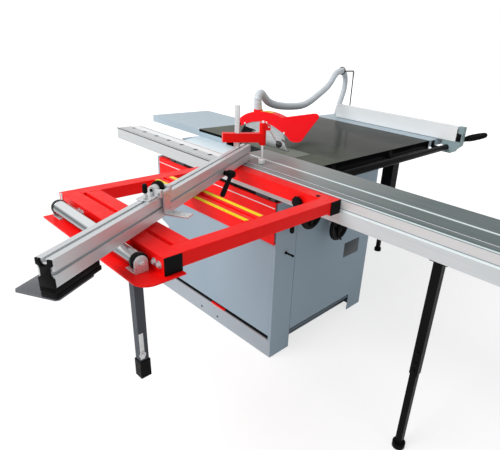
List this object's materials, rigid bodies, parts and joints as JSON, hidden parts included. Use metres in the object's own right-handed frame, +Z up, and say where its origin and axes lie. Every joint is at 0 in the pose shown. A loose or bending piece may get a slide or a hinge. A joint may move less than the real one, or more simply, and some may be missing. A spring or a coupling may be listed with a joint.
{
  "type": "combination saw spindle moulder",
  "caption": "Free-standing woodworking machine: tilting circular saw and spindle moulder with sliding table, outrigger frame, mitre fence, rip fence and extraction hose.",
  "frame": {"origin": "on the floor under the middle of the cabinet", "axes": "+Z up, +Y along the feed, away from the operator, +X to the operator's right"},
  "size_m": [2.608, 2.479, 1.1857],
  "materials": {
    "grey_paint": "satin powder coat",
    "red_paint": "gloss powder coat",
    "pale_plate": "satin powder coat",
    "black_paint": "satin",
    "cast_iron": "ground and oiled",
    "steel": "zinc plated",
    "aluminium": "anodised",
    "black_plastic": "moulded",
    "clear": "clear",
    "green_button": "gloss",
    "red_button": "gloss",
    "hose_grey": "ribbed"
  },
  "bodies": {
    "stand": {"base_frame": "red_paint", "cabinet_body": "grey_paint", "corner_post": "grey_paint", "front_panel": "grey_paint", "side_carrier": "red_paint", "rail_brackets": "black_paint", "slide_rail": "aluminium", "rail_screws": "steel", "support_legs": "black_paint", "leg_feet": "black_paint", "cast_table": "cast_iron", "table_inserts": "steel", "outfeed_plate": "pale_plate", "extension_plate": "pale_plate", "fence_bar": "steel", "hose_rod": "black_paint", "dust_port": "black_paint", "trunnion_guides": "cast_iron", "switch_box": "black_plastic", "hose": "hose_grey"},
    "start": {"start_button": "green_button"},
    "stop": {"stop_button": "red_button"},
    "tilt_hand": {"tilt_wheel": "black_plastic"},
    "rise_hand": {"rise_wheel": "black_plastic"},
    "tilt_lock": {"lock_lever": "black_plastic"},
    "saw_tilt_frame": {"saw_frame": "black_paint"},
    "saw_lift": {"saw_carriage": "cast_iron", "saw_motor": "black_paint", "belt_cover": "black_paint", "riving_knife": "steel"},
    "saw_rotor": {"saw_arbor": "steel", "saw_blade": "steel"},
    "guard": {"guard_body": "red_paint", "guard_windows": "clear"},
    "quill": {"spindle_quill": "steel"},
    "spindle": {"spindle_shaft": "steel"},
    "sliding_table": {"carriage": "aluminium", "end_caps": "black_plastic", "outer_beam": "red_paint", "inner_beam": "red_paint", "cross_bars": "red_paint", "scale_beam": "red_paint", "roller_plate": "red_paint", "roller_brackets": "steel", "prop_leg": "black_paint"},
    "frame_knob": {"clamp_knob": "black_plastic"},
    "roller": {"support_roller": "steel"},
    "prop": {"prop_foot": "black_plastic"},
    "mitre_fence": {"crosscut_fence": "aluminium", "fence_end": "black_plastic", "clamp_post": "steel"},
    "stop_slider": {"stop_block": "black_plastic"},
    "flip_stop": {"stop_arm": "steel"},
    "mitre_lock": {"fence_lever": "black_plastic"},
    "hold_down": {"clamp_arm": "red_paint"},
    "plunger": {"clamp_plunger": "steel"},
    "hold_down_lever": {"clamp_lever": "black_plastic"},
    "rip_head": {"rip_carriage": "cast_iron"},
    "rip_rail": {"rip_fence": "aluminium"},
    "rip_lock": {"rip_lever": "black_plastic"}
  },
  "joints": [
    {"name": "table_travel", "type": "slide", "parent": "stand", "child": "sliding_table", "axis": [0, 1, 0], "range_m": [-0.06, 1]},
    {"name": "knob_turn", "type": "hinge", "parent": "sliding_table", "child": "frame_knob", "pos_m": [-0.418, -0.59, 0.8275], "axis": [1, 0, 0], "continuous": true},
    {"name": "roller_spin", "type": "hinge", "parent": "sliding_table", "child": "roller", "pos_m": [-1.081, -0.43, 0.845], "axis": [0, 1, 0], "continuous": true},
    {"name": "prop_slide", "type": "slide", "parent": "sliding_table", "child": "prop", "axis": [0, 0, 1], "range_m": [-0.35, 0]},
    {"name": "mitre_swivel", "type": "hinge", "parent": "sliding_table", "child": "mitre_fence", "pos_m": [-0.343, -0.199, 0.87], "axis": [0, 0, 1], "range_deg": [-28, 17]},
    {"name": "stop_travel", "type": "slide", "parent": "mitre_fence", "child": "stop_slider", "axis": [0.8829, 0.4695, 0], "range_m": [-0.377, 0.333]},
    {"name": "stop_flip", "type": "hinge", "parent": "stop_slider", "child": "flip_stop", "pos_m": [-0.91318, -0.52822, 0.948], "axis": [0.8829, 0.4695, 0], "range_deg": [-150, 0]},
    {"name": "mitre_lock_turn", "type": "hinge", "parent": "mitre_fence", "child": "mitre_lock", "pos_m": [-0.52931, -0.35129, 0.8875], "axis": [-0.4695, 0.8829, 0], "range_deg": [-60, 0]},
    {"name": "hold_down_swing", "type": "hinge", "parent": "mitre_fence", "child": "hold_down", "pos_m": [-0.38431, -0.21077, 1], "axis": [0, 0, 1], "range_deg": [-60, 60]},
    {"name": "plunger_slide", "type": "slide", "parent": "hold_down", "child": "plunger", "axis": [0, 0, 1], "range_m": [0, 0.04]},
    {"name": "hold_down_lever_turn", "type": "hinge", "parent": "hold_down", "child": "hold_down_lever", "pos_m": [-0.27649, -0.27302, 1.023], "axis": [0.5, 0.866, 0], "range_deg": [-75, 0]},
    {"name": "saw_tilt", "type": "hinge", "parent": "stand", "child": "saw_tilt_frame", "pos_m": [-0.039, -0.03, 0.87], "axis": [0, 1, 0], "range_deg": [0, 45], "deforming": ["hose"]},
    {"name": "saw_rise", "type": "slide", "parent": "saw_tilt_frame", "child": "saw_lift", "axis": [0, 0, 1], "range_m": [-0.105, 0]},
    {"name": "blade_spin", "type": "hinge", "parent": "saw_lift", "child": "saw_rotor", "pos_m": [-0.039, -0.03, 0.795], "axis": [1, 0, 0], "continuous": true},
    {"name": "guard_slide", "type": "slide", "parent": "saw_lift", "child": "guard", "axis": [0, 0, 1], "range_m": [0, 0.105]},
    {"name": "tilt_wheel_turn", "type": "hinge", "parent": "stand", "child": "tilt_hand", "pos_m": [-0.217, -0.49, 0.698], "axis": [0, 1, 0], "range_deg": [0, 720]},
    {"name": "rise_wheel_turn", "type": "hinge", "parent": "stand", "child": "rise_hand", "pos_m": [-0.012, -0.49, 0.588], "axis": [0, 1, 0], "range_deg": [-720, 0]},
    {"name": "tilt_lock_turn", "type": "hinge", "parent": "stand", "child": "tilt_lock", "pos_m": [-0.302, -0.464, 0.686], "axis": [0, 1, 0], "range_deg": [-40, 40]},
    {"name": "quill_slide", "type": "slide", "parent": "stand", "child": "quill", "axis": [0, 0, 1], "range_m": [0, 0.14]},
    {"name": "spindle_spin", "type": "hinge", "parent": "quill", "child": "spindle", "pos_m": [0.233, 0.18, 0.8], "axis": [0, 0, 1], "continuous": true},
    {"name": "rip_travel", "type": "slide", "parent": "stand", "child": "rip_head", "axis": [1, 0, 0], "range_m": [-0.86, 0.06]},
    {"name": "rip_fence_slide", "type": "slide", "parent": "rip_head", "child": "rip_rail", "axis": [0, 1, 0], "range_m": [0, 0.25]},
    {"name": "rip_lock_turn", "type": "hinge", "parent": "rip_head", "child": "rip_lock", "pos_m": [1.043, -0.551, 0.88], "axis": [1, 0, 0], "range_deg": [-55, 0]},
    {"name": "start_press", "type": "slide", "parent": "stand", "child": "start", "axis": [0, 1, 0], "range_m": [0, 0.004], "stiffness_N_per_m": 800},
    {"name": "stop_press", "type": "slide", "parent": "stand", "child": "stop", "axis": [0, 1, 0], "range_m": [0, 0.004], "stiffness_N_per_m": 800}
  ],
  "couplings": [
    {"joint": "tilt_wheel_turn", "follows": "saw_tilt", "ratio": 16},
    {"joint": "rise_wheel_turn", "follows": "saw_rise", "rad_per_m": 119.6},
    {"joint": "guard_slide", "follows": "saw_rise", "ratio": -1},
    {"joint": "hold_down_lever_turn", "follows": "plunger_slide", "rad_per_m": -32.7}
  ]
}
